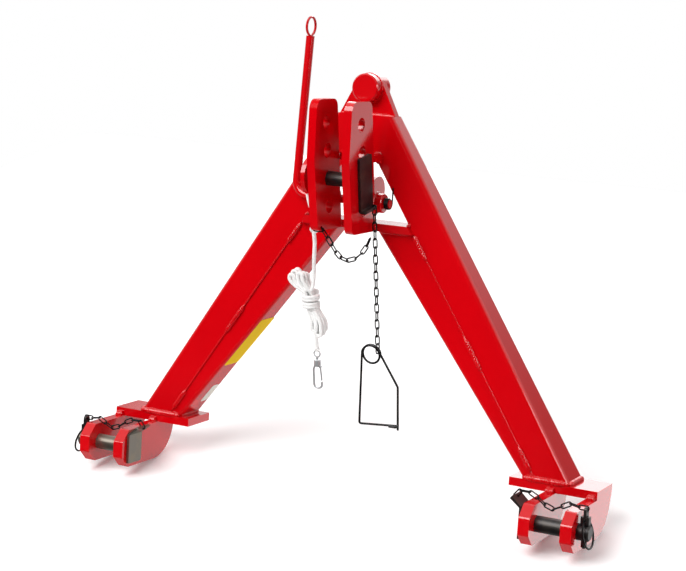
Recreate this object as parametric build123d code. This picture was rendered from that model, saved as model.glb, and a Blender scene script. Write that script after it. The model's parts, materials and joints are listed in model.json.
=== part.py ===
from build123d import *
import os
from math import atan2, cos, degrees, pi, radians, sin, tan

# Three point quick hitch, tractor side, category 2, millimetres.
# +X is the machine's right, +Y points back to the implement, +Z is up.
# The origin lies midway between the feet, on the lower link pins' common axis.
# The A-frame is drawn upright in its own plane and then leaned back.

# Lean of the A-frame away from the top link bracket
frame_lean = 11.3

# Lower link clevises
clevis_spread = 876.0
clevis_gap = 54.0
ear_thickness = 20.0
pin_forward = 87.0
pin_drop = 50.0
outer_ear_back = 72.0
inner_ear_back = 55.0
ear_heel_run = 17.0
ear_heel_radius = 66.0
ear_toe_radius = 1.5
nose_round = 6.0

# Foot plates
foot_plate_width = 161.0
foot_plate_thickness = 15.0
foot_plate_front = 4.0

# Legs, folded channels that taper towards the apex
frame_height = 597.0
leg_foot_outer = 432.5
leg_top_outer = 54.3
leg_foot_face = 61.8
apex_seam_drop = 32.5
leg_depth_foot = 72.0
leg_depth_top = 42.5
leg_wall = 6.0
leg_edge_radius = 8.0

# Leg webs, folded channels that fill the inner side of each leg
web_foot_face = 24.7
web_top = 38.0
web_wall = 5.0
web_setback = 1.5
web_edge_radius = 7.0

# Cross plate between the legs
cross_plate_thickness = 14.0
cross_plate_underside = 396.0
cross_plate_back_margin = 4.0

# Apex plate and its two guide bosses
apex_plate_thickness = 15.0
apex_plate_radius = 27.0
boss_rise = 46.6
boss_radius = 25.5
boss_thickness = 19.5
boss_chamfer = 2.5

# Top link bracket
bracket_gap = 52.0
bracket_thickness = 15.0
bracket_back = 163.0
bracket_depth = 92.5
bracket_height = 247.4
bracket_back_top_radius = 16.0
bracket_front_top_radius = 18.0
bracket_waist_radius = 30.0
bracket_front_foot_radius = 13.0
bracket_back_foot_radius = 3.0
bracket_outline_shares = [(0.0, 0.0), (0.0, 0.94), (0.801, 1.0), (1.0, 0.588), (0.958, 0.068)]
hole_column_inset = 43.0
top_hole_inset = 46.65
hole_pitch = 50.0
hole_count = 4
pin_hole_index = 2
stay_thickness = 12.0
stay_rise = 72.0

# Top link pin and its handle
top_pin_diameter = 25.4
pin_clearance = 0.06
top_pin_overhang = 8.0
top_pin_chamfer = 2.0
clip_hole_diameter = 5.5
clip_hole_inset = 4.5
handle_width = 46.0
handle_height = 97.0
handle_thickness = 5.0
handle_corner = 4.0
handle_drop = 4.0
handle_shift = 3.0
handle_lip = 13.7
handle_bend_radius = 6.0
handle_inner_radius = 1.5
lip_hole_diameter = 6.0
lip_hole_edge = 5.5
handle_chain_offset = 17.0
seat_gap = 0.3

# Latch shaft, lever and hook
shaft_diameter = 15.0
shaft_forward = 10.5
shaft_rise = 36.0
shaft_right_overhang = 11.0
lever_reach = 121.5
lever_tilt = 4.5
lever_rise = 281.0
lever_lean = 2.5
lever_bend_radius = 24.0
ring_radius = 16.25
ring_wire = 4.5
ring_seat_depth = 1.5
bush_diameter = 34.0
bush_length = 15.0
bush_chamfer = 1.5
hook_thickness = 20.0
hook_hub_radius = 16.5
hook_nose_back = 67.0
hook_nose_rise = 13.0
hook_nose_radius = 27.0
hook_catch_inset = 6.0
hook_catch_drop = 4.0
lug_thickness = 8.0
lug_hub_radius = 14.0
lug_eye_radius = 14.0
lug_rim = 19.0
lug_eye_round = 3.4
lug_eye_forward = 52.0
lug_eye_rise = 53.0
spring_wire = 2.5
spring_play = 0.35
spring_turns = 3
spring_pitch = 2.8
spring_leg = 28.0
spring_tail = 9.0

# Lower link pins and their head plates
lower_pin_diameter = 28.0
lower_pin_overhang = 21.0
lower_pin_chamfer = 2.5
head_width = 42.0
head_height = 54.0
head_thickness = 5.0
head_corner = 3.0
head_lip = 25.0
head_lip_angle = 50.0

# Linch pins and their spring rings
linch_diameter = 10.0
linch_from_ear = 11.0
linch_head_width = 15.0
linch_head_depth = 13.0
linch_head_height = 13.0
linch_head_round = 2.0
linch_tab_thickness = 5.0
linch_tab_height = 16.0
linch_tail = 27.0
linch_nose = 3.0
linch_ring_radius = 24.0
linch_ring_wire = 3.6
linch_ring_tilt = 14.0
linch_ring_play = 0.65

# Chains
link_wire = 2.5
link_width = 9.8
link_play = 0.3
hinge_play = 1.0
wire_sides = 6
hanging_pitch = 15.0
hanging_links = 17
clip_link_width = 15.5
clip_link_pitch = 16.3
frame_chain_links = 9
frame_chain_meets = 4
frame_chain_anchor = 88.0
frame_chain_sag = 48.0
frame_chain_slope_shares = [(1.0, 0.0, -1.5), (0.5, 0.2, 1.5)]
tether_pitch = 15.3
tether_links = 7
tether_crest = 8.5
tether_sag = 14.0

# Wire locking clip
clip_wire = 4.0
clip_coil_radius = 17.0
clip_hang_angle = 50.0
clip_seat_rise = 6.6
clip_height = 136.0
clip_width = 78.0
clip_splay = 9.0
clip_bar_rise = 7.0
clip_knee_share = 0.42
clip_turns = 1.5
clip_corner = 3.5
clip_hook_length = 15.0

# Rope, its route points chosen by hand from the lug's eye down to the snap hook
rope_diameter = 7.0
rope_line = [
    (-52.8, 120.0, 428.0),
    (-52.3, 120.0, 514.2),
    (-68.3, 120.0, 514.2),
    (-68.3, 120.4, 482.0),
    (-60.6, 120.0, 460.0),
    (-60.4, 120.2, 430.0),
    (-57.0, 120.5, 405.0),
    (-60.0, 120.0, 375.0),
    (-61.8, 120.0, 310.5),
]
rope_tail = [(-60.4, 120.0, 226.0), (-61.2, 120.4, 216.0), (-60.5, 120.0, 204.0)]
knot_radius = 9.5
knot_height = 21.0
knot_level = 430.0
knot_shift = 4.0
hank_depth = 24.0
hank_wrap_depth = 34.0
hank_corner = 5.0
hank_round = 3.5
hank_left = -113.0
hank_bottom = 226.0
hank_width = 72.0
hank_height = 131.0
hank_outline_shares = [
    (0.0, 0.954), (0.6, 1.0), (0.6, 0.66), (0.9, 0.64), (0.875, 0.466), (1.0, 0.107),
    (0.875, 0.0), (0.7, 0.0), (0.486, 0.35), (0.305, 0.59), (0.07, 0.718),
]
hank_wrap_shares = [(0.36, 0.6), (0.6, 0.655), (0.86, 0.62), (0.84, 0.44), (0.46, 0.4)]

# Swivel and snap hook at the rope's end
snap_x = -60.5
snap_y = 120.0
swivel_top = 200.0
swivel_wire = 3.0
swivel_eye_radius = 6.0
swivel_neck_radius = 2.5
swivel_head_radius = 3.4
swivel_head_height = 2.5
tail_knot_radius = 6.0
tail_knot_height = 11.0
collar_radius = 6.5
collar_height = 11.0
snap_wire = 4.0
snap_length = 44.0
snap_width = 16.0
snap_bend = 7.0
snap_neck = 9.0
snap_nose = 13.0
gate_wire = 3.0
gate_barrel_radius = 2.2
gate_barrel_length = 5.0
gate_gap = 0.5

# Shared helpers
cord_bend_share = 0.45
overrun = 10.0
far = 2000.0

foot_outer = clevis_spread / 2 + clevis_gap / 2 + ear_thickness
foot_inner = foot_outer - foot_plate_width
seam_foot = leg_foot_outer - leg_foot_face
seam_apex_height = frame_height - apex_seam_drop
web_foot = seam_foot - web_foot_face
boss_height = frame_height + boss_rise
shaft_height = cross_plate_underside + cross_plate_thickness + shaft_rise
bracket_face = bracket_gap / 2 + bracket_thickness
bracket_low_reach = bracket_back * tan(radians(frame_lean))
bracket_bottom = (cross_plate_underside + pin_drop) / cos(radians(frame_lean)) - bracket_low_reach
hole_column = bracket_back - hole_column_inset
top_hole_height = bracket_bottom + bracket_height - top_hole_inset
nose_radius = pin_drop - foot_plate_thickness
leaning = Rot(-frame_lean, 0, 0) * Pos(0, pin_forward, pin_drop)


def to_world(x, y, z):
    """A point of the upright A-frame, after the lean."""
    return (leaning * Pos(x, y, z)).position


def side_plane(x):
    """The YZ plane at x, with its normal along +X."""
    return Plane(origin=(x, 0, 0), x_dir=(0, 1, 0), z_dir=(1, 0, 0))


def front_plane(y):
    """The XZ plane at y, with its normal along +Y and X reversed."""
    return Plane(origin=(0, y, 0), x_dir=(-1, 0, 0), z_dir=(0, 1, 0))


def side_prism(points, radii, x_start, width):
    """A plate with its outline in Y and Z, from x_start to x_start plus width."""
    outline = make_face(FilletPolyline(*points, radius=radii, close=True))
    return extrude(side_plane(x_start) * outline, amount=width)


def front_prism(points, y_start, depth):
    """A plate with its outline in X and Z, from y_start to y_start plus depth."""
    outline = make_face(Polyline(*[(-x, z) for x, z in points], close=True))
    return extrude(front_plane(y_start) * outline, amount=depth)


def x_cylinder(radius, x_start, length, y, z):
    """A bar along X, centred on y and z."""
    return extrude(side_plane(x_start) * Pos(y, z) * Circle(radius), amount=length)


def mirrored(shape):
    """The same piece on the machine's left."""
    solids = [mirror(solid, about=Plane.YZ) for solid in shape.solids()]
    return Compound(children=solids) if len(solids) > 1 else solids[0]


def seam_x(height):
    """Inner edge of a leg channel at a height of the upright frame."""
    return seam_foot * (1 - height / seam_apex_height)


def web_x(height):
    """Inner edge of a leg web at a height of the upright frame."""
    return web_foot - (web_foot - web_top) * height / cross_plate_underside


def leg_depth(height):
    """Depth of a leg at a height of the upright frame."""
    return leg_depth_foot - (leg_depth_foot - leg_depth_top) * height / frame_height


def depth_profile(front, inset):
    """The tapering side view shared by the leg pieces, as a block across X."""
    base = -overrun
    top = frame_height + overrun
    points = [(front, base), (leg_depth(base) - inset, base), (leg_depth(top) - inset, top), (front, top)]
    outline = make_face(Polyline(*points, close=True))
    return extrude(side_plane(0) * outline, amount=foot_outer)


def leg_channel():
    """Right leg, a tapering box section, open at the foot and at the apex mitre."""
    top = frame_height
    corners = [(leg_foot_outer, 0), (leg_top_outer, top), (0, top), (0, seam_apex_height), (seam_foot, 0)]
    block = front_prism(corners, 0, leg_depth_foot) & depth_profile(0, 0)
    long_edges = [edge for edge in block.edges() if edge.length > frame_height]
    outer_edges = sorted(long_edges, key=lambda edge: edge.center().X + edge.center().Z)[-2:]
    block = fillet(outer_edges, leg_edge_radius)
    slope = (leg_foot_outer - leg_top_outer) / frame_height
    below = [(leg_foot_outer + slope * overrun, -overrun), (leg_top_outer, top), (-overrun, top)]
    above = [(-overrun, seam_apex_height), (0, seam_apex_height), (seam_x(-overrun), -overrun)]
    outline = make_face(Polyline(*[(-x, z) for x, z in below + above], close=True))
    hollow = extrude(front_plane(0) * offset(outline, amount=-leg_wall, kind=Kind.INTERSECTION), amount=far)
    return block - (hollow & depth_profile(leg_wall, leg_wall))


def leg_web():
    """Right leg's inner channel, open towards the leg and at the foot."""
    top = cross_plate_underside
    corners = [(seam_x(top), top), (web_top, top), (web_foot, 0), (seam_foot, 0)]
    block = front_prism(corners, 0, leg_depth_foot) & depth_profile(web_setback, web_setback)
    long_edges = [edge for edge in block.edges() if edge.length > top]
    inner_edges = sorted(long_edges, key=lambda edge: edge.center().X)[:2]
    block = fillet(inner_edges, web_edge_radius)
    inset = web_setback + web_wall
    low = [(web_x(-overrun) + web_wall, -overrun), (seam_foot + overrun, -overrun)]
    high = [(seam_x(top) + overrun, top + overrun), (web_x(top + overrun) + web_wall, top + overrun)]
    hollow = front_prism(low + high, 0, far) & depth_profile(inset, inset)
    return block - hollow


def cross_plate():
    """Plate between the legs, bevelled in front to meet the upright bracket plates."""
    low = cross_plate_underside
    high = low + cross_plate_thickness
    right = [(seam_x(low), low), (seam_x(high), high)]
    corners = right + [(-x, z) for x, z in reversed(right)]
    depth = leg_depth(low) - cross_plate_back_margin
    blank = leaning * front_prism(corners, -far / 2, far / 2 + depth)
    return blank & Pos(0, bracket_back + far / 2, 0) * Box(far, far, far)


def apex_plate():
    """Upright plate on the apex, tangent from its foot to a round top."""
    centre = (0, boss_height)
    foot = Line((-leg_top_outer, frame_height), (leg_top_outer, frame_height))
    crown = Pos(*centre) * Circle(apex_plate_radius)
    outline = make_hull(foot.edges() + crown.edges())
    return extrude(front_plane(apex_plate_front()) * outline, amount=apex_plate_thickness)


def apex_plate_front():
    """Front face of the apex plate, central on the tops of the legs."""
    return (leg_depth_top - apex_plate_thickness) / 2


def guide_boss(sign):
    """Round boss on the apex plate, in front for -1 and behind for 1."""
    middle = leg_depth_top / 2
    boss = Cylinder(boss_radius, boss_thickness, align=(Align.CENTER, Align.CENTER, Align.MIN))
    boss = chamfer(boss.edges().sort_by(Axis.Z)[-1], boss_chamfer)
    seat = Pos(0, middle + sign * apex_plate_thickness / 2, boss_height)
    return seat * Rot(-sign * 90, 0, 0) * boss


def bracket_plate():
    """Right top link plate with its column of pin holes."""
    points = []
    for depth_share, rise_share in bracket_outline_shares:
        y = bracket_back - depth_share * bracket_depth
        points.append((y, bracket_bottom + rise_share * bracket_height))
    radii = [bracket_back_foot_radius, bracket_back_top_radius, bracket_front_top_radius]
    radii = radii + [bracket_waist_radius, bracket_front_foot_radius]
    plate = side_prism(points, radii, bracket_gap / 2, bracket_thickness)
    bore = top_pin_diameter / 2 + pin_clearance
    through = bracket_thickness + 2 * overrun
    for index in range(hole_count):
        height = top_hole_height - index * hole_pitch
        plate -= x_cylinder(bore, bracket_gap / 2 - overrun, through, hole_column, height)
    return plate


def anchored_plate():
    """Left top link plate, which also carries the frame chain's small hole."""
    plate = mirrored(bracket_plate())
    _, y, z = frame_chain_hole()
    through = bracket_thickness + 2 * overrun
    return plate - x_cylinder(lip_hole_diameter / 2, -bracket_face - overrun, through, y, z)


def frame_chain_hole():
    """Hole near the left bracket plate's lower edge, on that plate's middle plane."""
    front_share, rise_share = bracket_outline_shares[-1]
    slope = rise_share * bracket_height / (front_share * bracket_depth)
    edge = bracket_bottom + slope * (bracket_back - frame_chain_anchor)
    return (-(bracket_gap + bracket_thickness) / 2, frame_chain_anchor, edge + lip_hole_edge)


def bracket_stay():
    """Plate from the bracket's back edges to the legs' front faces."""
    width = 2 * bracket_face
    level = shaft_height + stay_rise + stay_thickness / 2
    blank = leaning * Pos(0, -far / 2, level) * Box(width, far, stay_thickness)
    return blank & Pos(0, bracket_back + far / 2, 0) * Box(far, far, far)


def foot_plate():
    """Right foot plate under its leg."""
    size = (foot_plate_width, leg_depth_foot + foot_plate_front, foot_plate_thickness)
    middle_x = (foot_outer + foot_inner) / 2
    middle_y = (leg_depth_foot - foot_plate_front) / 2
    return Pos(middle_x, middle_y, -foot_plate_thickness / 2) * Box(*size)


def ear(x_start, back):
    """One clevis ear with a half octagon nose and a swept heel."""
    facet = nose_radius * tan(pi / 8)
    nose = -pin_forward - nose_radius
    low = -pin_drop - nose_radius
    high = -foot_plate_thickness
    points = [(-pin_forward - facet, low), (nose, -pin_drop - facet), (nose, -pin_drop + facet)]
    points += [(-pin_forward - facet, high), (back, high), (back - ear_heel_run, low)]
    radii = [nose_round, nose_round, nose_round, nose_round, ear_toe_radius, ear_heel_radius]
    plate = side_prism(points, radii, x_start, ear_thickness)
    bore = lower_pin_diameter / 2 + pin_clearance
    return plate - x_cylinder(bore, x_start - overrun, ear_thickness + 2 * overrun, -pin_forward, -pin_drop)


def latch_bush():
    """Right shaft bush, welded by its inner end to the bracket plate."""
    bush = x_cylinder(bush_diameter / 2, bracket_face, bush_length, -shaft_forward, shaft_height)
    bush = chamfer(bush.edges().filter_by(GeomType.CIRCLE).sort_by(Axis.X)[-1], bush_chamfer)
    bore = shaft_diameter / 2 + pin_clearance
    return bush - x_cylinder(bore, 0, far, -shaft_forward, shaft_height)


def shaft_right_end():
    """Where the latch shaft ends, past the right bush and the spring."""
    return bracket_face + bush_length + shaft_right_overhang


def lever_plane():
    """Plane of the bent lever, through the shaft's axis."""
    lean = radians(lever_lean)
    return Plane(origin=(0, -shaft_forward, shaft_height), x_dir=(1, 0, 0), z_dir=(0, -cos(lean), sin(lean)))


def lever_length():
    """Length of the lever's arm from the shaft's axis."""
    return lever_rise / cos(radians(lever_lean))


def release_lever():
    """Shaft and arm bent from one round bar."""
    top = (lever_tilt - lever_reach, lever_length())
    route = FilletPolyline((shaft_right_end(), 0), (-lever_reach, 0), top, radius=lever_bend_radius)
    path = lever_plane() * route
    section = Plane(origin=path @ 0, z_dir=path % 0) * Circle(shaft_diameter / 2)
    return sweep(section, path=path)


def wire_ring(radius, wire):
    """Ring in the XY plane, of a six sided wire."""
    section = Plane.XZ * Pos(radius, 0) * RegularPolygon(wire / 2, wire_sides)
    return revolve(section, axis=Axis.Z)


def lever_ring():
    """Pull ring welded on the lever's top."""
    centre = lever_length() + ring_radius + ring_wire / 2 - ring_seat_depth
    seat = lever_plane() * Pos(lever_tilt - lever_reach, centre, 0)
    return seat * Rot(0, 90, 0) * wire_ring(ring_radius, ring_wire) - release_lever()


def latch_hook():
    """Hook on the middle of the shaft, its nose behind the frame window."""
    hub = Pos(-shaft_forward, shaft_height) * Circle(hook_hub_radius)
    nose = Pos(hook_nose_back - shaft_forward, shaft_height + hook_nose_rise) * Circle(hook_nose_radius)
    outline = make_hull(hub.edges() + nose.edges())
    throat_y = hook_nose_back - shaft_forward - hook_catch_inset
    throat_z = shaft_height + hook_nose_rise - hook_nose_radius - hook_catch_drop
    outline -= Pos(throat_y, throat_z) * Circle(hook_hub_radius)
    hook = extrude(side_plane(-hook_thickness / 2) * outline, amount=hook_thickness)
    bore = shaft_diameter / 2 + pin_clearance / 2
    return hook - x_cylinder(bore, -far, 2 * far, -shaft_forward, shaft_height)


def lug_eye():
    """Centre of the rope lug's eye in the upright bracket's frame."""
    shaft = to_world(0, -shaft_forward, shaft_height)
    return (shaft.Y - lug_eye_forward, shaft.Z + lug_eye_rise)


def rope_eye_lug():
    """Lug on the shaft that carries the rope, just outside the left bush."""
    shaft = to_world(0, -shaft_forward, shaft_height)
    y, z = lug_eye()
    hub = Pos(shaft.Y, shaft.Z) * Circle(lug_hub_radius)
    eye = Pos(y, z) * Circle(lug_eye_radius + lug_rim)
    outline = make_hull(hub.edges() + eye.edges()) - Pos(y, z) * Circle(lug_eye_radius)
    start = -(bracket_face + bush_length + seat_gap + lug_thickness)
    lug = extrude(side_plane(start) * outline, amount=lug_thickness)
    rims = lug.edges().filter_by(GeomType.CIRCLE).filter_by(lambda edge: edge.is_closed)
    lug = fillet(rims, lug_eye_round)
    return lug - x_cylinder(shaft_diameter / 2 + pin_clearance / 2, -far, 2 * far, shaft.Y, shaft.Z)


def coil_wire(place, pitch, turn_count, radius, diameter):
    """Coiled round wire from the place's x side, and its middle line."""
    line = place * Helix(pitch=pitch, height=pitch * turn_count, radius=radius)
    section = Plane(origin=line @ 0, z_dir=line % 0) * Circle(diameter / 2)
    return sweep(section, path=line, is_frenet=True), line


def latch_return_spring():
    """Torsion spring on the shaft's right end, one leg up against the right leg."""
    radius = shaft_diameter / 2 + spring_play + spring_wire / 2
    start = bracket_face + bush_length + seat_gap + spring_wire / 2
    place = Plane(origin=(start, -shaft_forward, shaft_height), x_dir=(0, 1, 0), z_dir=(1, 0, 0))
    coil, line = coil_wire(place, spring_pitch, spring_turns, radius, spring_wire)
    tail = Line(line @ 0 - Vector(0, 0, spring_tail), line @ 0)
    leg = Line(line @ 1, line @ 1 + Vector(0, 0, spring_leg))
    return coil + round_wire(tail, spring_wire) + round_wire(leg, spring_wire)


def pin_hole_height():
    """Height of the hole that holds the top link pin."""
    return top_hole_height - pin_hole_index * hole_pitch


def top_link_pin():
    """Top link pin with the small cross hole for its clip."""
    start = -(bracket_face + top_pin_overhang)
    length = bracket_face + handle_thickness + seat_gap - start
    pin = x_cylinder(top_pin_diameter / 2, start, length, hole_column, pin_hole_height())
    pin = chamfer(pin.edges().filter_by(GeomType.CIRCLE).sort_by(Axis.X)[0], top_pin_chamfer)
    cross = Cylinder(clip_hole_diameter / 2, far)
    return pin - Pos(start + clip_hole_inset, hole_column, pin_hole_height()) * cross


def handle_lip_point():
    """Middle of the lip between its chain hole and its tip, and halfway through it."""
    tip = bracket_face + seat_gap + handle_lip
    y = hole_column + handle_chain_offset
    z = pin_hole_height() - handle_drop - (handle_height - handle_thickness) / 2
    return (tip - lip_hole_edge + (link_width - link_wire) / 2, y, z)


def pin_handle_plate():
    """Flat handle of the top link pin with a lip bent out at its lower edge."""
    inner = bracket_face + seat_gap
    outer = inner + handle_thickness
    tip = inner + handle_lip
    middle = pin_hole_height() - handle_drop
    low = middle - handle_height / 2
    high = middle + handle_height / 2
    ledge = low + handle_thickness
    points = [(inner, high), (outer, high), (outer, ledge), (tip, ledge), (tip, low), (inner, low)]
    radii = [0, 0, handle_inner_radius, 0, 0, handle_bend_radius]
    profile = make_face(FilletPolyline(*[(-x, z) for x, z in points], radius=radii, close=True))
    front = hole_column + handle_shift - handle_width / 2
    plate = extrude(front_plane(front) * profile, amount=handle_width)
    top_corners = plate.edges().filter_by(Axis.X).group_by(Axis.Z)[-1]
    tip_corners = plate.edges().filter_by(Axis.Z).group_by(Axis.X)[-1]
    plate = fillet(top_corners + tip_corners, handle_corner)
    plate -= x_cylinder(top_pin_diameter / 2 + pin_clearance / 2, 0, far, hole_column, pin_hole_height())
    x, y, z = handle_lip_point()
    hole_x = x - (link_width - link_wire) / 2
    return plate - Pos(hole_x, y, z) * Cylinder(lip_hole_diameter / 2, 2 * handle_thickness)


def lower_link_pin():
    """Right lower link pin, from its head plate out past the outer ear."""
    start = ear_inner_face() - head_thickness - seat_gap
    length = foot_outer + lower_pin_overhang - start
    pin = x_cylinder(lower_pin_diameter / 2, start, length, -pin_forward, -pin_drop)
    pin = chamfer(pin.edges().filter_by(GeomType.CIRCLE).sort_by(Axis.X)[-1], lower_pin_chamfer)
    cross = Cylinder(linch_diameter / 2 + pin_clearance / 2, far)
    return pin - Pos(linch_x(), -pin_forward, -pin_drop) * cross


def ear_inner_face():
    """Inner face of the inner ear."""
    return foot_outer - 2 * ear_thickness - clevis_gap


def linch_x():
    """Axis of the linch pin, outside the outer ear."""
    return foot_outer + linch_from_ear


def head_lip_frame():
    """Middle of the head's lip tip, and the directions along and through the lip."""
    angle = radians(head_lip_angle)
    along = Vector(-sin(angle), 0, cos(angle))
    through = Vector(cos(angle), 0, sin(angle))
    bend = Vector(ear_inner_face() - seat_gap - head_thickness / 2, -pin_forward, head_top())
    return bend + along * head_lip, along, through


def head_top():
    """Height at which the head plate starts to bend into its lip."""
    return -pin_drop + head_height / 2


def pin_head_plate():
    """Head of a lower link pin, bent away from the ear at its top."""
    tip, along, through = head_lip_frame()
    half = head_thickness / 2
    bend = tip - along * head_lip
    low = head_top() - head_height
    outer = [bend + Vector(half, 0, low - head_top()), bend + Vector(half, 0, 0), tip + through * half]
    inner = [tip - through * half, bend - Vector(half, 0, 0), bend + Vector(-half, 0, low - head_top())]
    profile = make_face(Polyline(*[(-point.X, point.Z) for point in outer + inner], close=True))
    plate = extrude(front_plane(-pin_forward - head_width / 2) * profile, amount=head_width)
    plate = fillet(plate.edges().filter_by(Axis.X).group_by(Axis.Z)[0], head_corner)
    plate = fillet(plate.edges().filter_by(Axis(tip, through)), head_corner)
    plate -= x_cylinder(lower_pin_diameter / 2 + pin_clearance / 2, 0, far, -pin_forward, -pin_drop)
    hole = tip - along * lip_hole_edge
    drill = Plane(origin=hole, z_dir=through) * Cylinder(lip_hole_diameter / 2, 2 * head_thickness)
    return plate - drill


def linch_head_centre():
    """Centre of the linch pin's head, seated on the lower link pin."""
    seat = -pin_drop + lower_pin_diameter / 2 + seat_gap
    return (linch_x(), -pin_forward, seat + linch_head_height / 2)


def linch_tab_hole():
    """Hole through the tab on top of the linch pin's head."""
    x, y, z = linch_head_centre()
    return (x, y, z + linch_head_height / 2 + linch_tab_height - lip_hole_edge)


def linch_pin():
    """Linch pin through the lower link pin, with a cross bored head and a chain tab."""
    x, y, z = linch_head_centre()
    low = -pin_drop - linch_tail
    base = (Align.CENTER, Align.CENTER, Align.MIN)
    shank = Pos(x, y, low) * Cylinder(linch_diameter / 2, z - low, align=base)
    shank = chamfer(shank.edges().sort_by(Axis.Z)[0], linch_nose)
    head = Box(linch_head_width, linch_head_depth, linch_head_height)
    head = fillet(head.edges().filter_by(Axis.Z), linch_head_round)
    tab_top = linch_head_height / 2 + linch_tab_height
    tab_outline = Rectangle(linch_head_depth, tab_top, align=(Align.CENTER, Align.MIN))
    tab = extrude(side_plane(-linch_tab_thickness / 2) * tab_outline, amount=linch_tab_thickness)
    tab = fillet(tab.edges().filter_by(Axis.X).group_by(Axis.Z)[-1], linch_head_depth / 3)
    bore = Rot(90, 0, 0) * Cylinder(linch_ring_wire / 2 + linch_ring_sag() / 2 + linch_ring_play, far)
    blank = Pos(x, y, z) * (head + tab) + shank - Pos(x, y, z) * bore
    hole_x, hole_y, hole_z = linch_tab_hole()
    start = hole_x - linch_head_width / 2
    return blank - x_cylinder(lip_hole_diameter / 2, start, linch_head_width, hole_y, hole_z)


def linch_ring_sag():
    """How far the ring bows within the width of the linch pin's head."""
    half = linch_head_depth / 2
    return linch_ring_radius - (linch_ring_radius**2 - half**2) ** 0.5


def linch_ring():
    """Spring ring through the linch pin's head, hanging round the lower link pin's end."""
    x, y, z = linch_head_centre()
    ring = Rot(0, 90, 0) * wire_ring(linch_ring_radius, linch_ring_wire)
    hung = Pos(0, 0, linch_ring_sag() / 2 - linch_ring_radius) * ring
    return Pos(x, y, z) * Rot(0, -linch_ring_tilt, 0) * hung


def chain_link(start, end, side, width=link_width, play=link_play):
    """Oval link between two joints, its width across the side direction."""
    step = end - start
    radius = (width - link_wire) / 2
    slot = SlotCenterToCenter(step.length + link_wire + play - 2 * radius, 2 * radius)
    normal = step.cross(side)
    place = Plane(origin=(start + end) / 2, x_dir=step, z_dir=normal)
    path = place * slot.face().outer_wire()
    section = Plane(origin=path @ 0, z_dir=path % 0) * RegularPolygon(link_wire / 2, wire_sides)
    return sweep(section, path=path)


def lip_joint(thickness, play=link_play):
    """Depth behind a pierced lip's middle at which its link's joint lies."""
    return (thickness + play) / 2


def chain_along(joints, first_side, second_side):
    """Links between joints, turned a quarter turn from one to the next."""
    sides = [first_side, second_side]
    pairs = zip(joints, joints[1:])
    return [chain_link(start, end, sides[index % 2]) for index, (start, end) in enumerate(pairs)]


def hanging_joints():
    """Joints of the chain that hangs from the handle's lip down to the wire clip."""
    x, y, z = handle_lip_point()
    top = Vector(x, y, z + lip_joint(handle_thickness, hinge_play))
    joints = [top - Vector(0, 0, hanging_pitch * index) for index in range(hanging_links + 1)]
    return joints


def hanging_chain():
    """Chain on the handle's lip, with a wider last link for the clip's coil."""
    joints = hanging_joints()
    first = chain_link(joints[0], joints[1], Vector(1, 0, 0), play=hinge_play)
    links = [first] + chain_along(joints[1:], Vector(0, 1, 0), Vector(1, 0, 0))
    last = joints[-1] - Vector(0, 0, clip_link_pitch)
    end = chain_link(joints[-1], last, Vector(0, 1, 0), width=clip_link_width)
    return Compound(children=links + [end])


def frame_chain_joints():
    """Joints of the sagging chain from the left bracket plate to the hanging chain."""
    x, y, z = frame_chain_hole()
    half = bracket_thickness / 2
    centre = z - (link_width - link_wire) / 2 - link_play
    start = Vector(x - half - link_play, y, centre)
    first = Vector(x + half + link_wire + 2 * link_play, y, centre)
    over = hanging_joints()[frame_chain_meets]
    last = Vector(over.X - link_width / 2 - 2 * link_wire, over.Y, over.Z)
    drop = Vector(0, 0, -frame_chain_sag)
    sag = Spline(first, (first + last) / 2 + drop, last, tangents=frame_chain_slope_shares)
    return [start] + [sag @ (index / frame_chain_links) for index in range(frame_chain_links + 1)]


def frame_chain():
    """Slack chain from the left bracket plate towards the hanging chain."""
    joints = frame_chain_joints()
    return Compound(children=chain_along(joints, Vector(0, 0, 1), Vector(0, 1, 0)))


def tether_joints():
    """Joints of the right foot's chain, from the pin head over the ears to the linch pin."""
    tip, along, through = head_lip_frame()
    middle = tip - along * (lip_hole_edge - (link_width - link_wire) / 2)
    start = middle - through * lip_joint(head_thickness)
    first = start + through * tether_pitch
    x, y, z = linch_tab_hole()
    level = z + (link_width - link_wire) / 2
    last = Vector(x + lip_joint(linch_tab_thickness), y, level)
    before = last - Vector(tether_pitch, 0, 0)
    crest = tether_crest - foot_plate_thickness
    inner_ear = Vector(ear_inner_face() + ear_thickness, y, crest)
    outer_ear = Vector(foot_outer - ear_thickness, y, crest)
    dip = (inner_ear + outer_ear) / 2 - Vector(0, 0, tether_sag)
    drape = Spline(first, inner_ear, dip, outer_ear, before)
    middle_joints = [drape @ (index / tether_links) for index in range(tether_links + 1)]
    return [start] + middle_joints + [last]


def tether_chain():
    """Chain that keeps a foot's linch pin with its lower link pin."""
    joints = tether_joints()
    across = Vector(0, 1, 0)
    links = []
    for index, (start, end) in enumerate(zip(joints, joints[1:])):
        side = across if index % 2 else (end - start).cross(across)
        links.append(chain_link(start, end, side))
    return Compound(children=links)


def clip_centre():
    """Centre of the wire clip's coil, under the chain's wide last link."""
    last = hanging_joints()[-1] - Vector(0, 0, clip_link_pitch)
    lean = radians(clip_hang_angle)
    seat = last + Vector(0, 0, clip_seat_rise)
    return seat - Vector(sin(lean), 0, cos(lean)) * clip_coil_radius


def round_wire(path, diameter):
    """Round wire along a path."""
    return sweep(Plane(origin=path @ 0, z_dir=path % 0) * Circle(diameter / 2), path=path)


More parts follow.
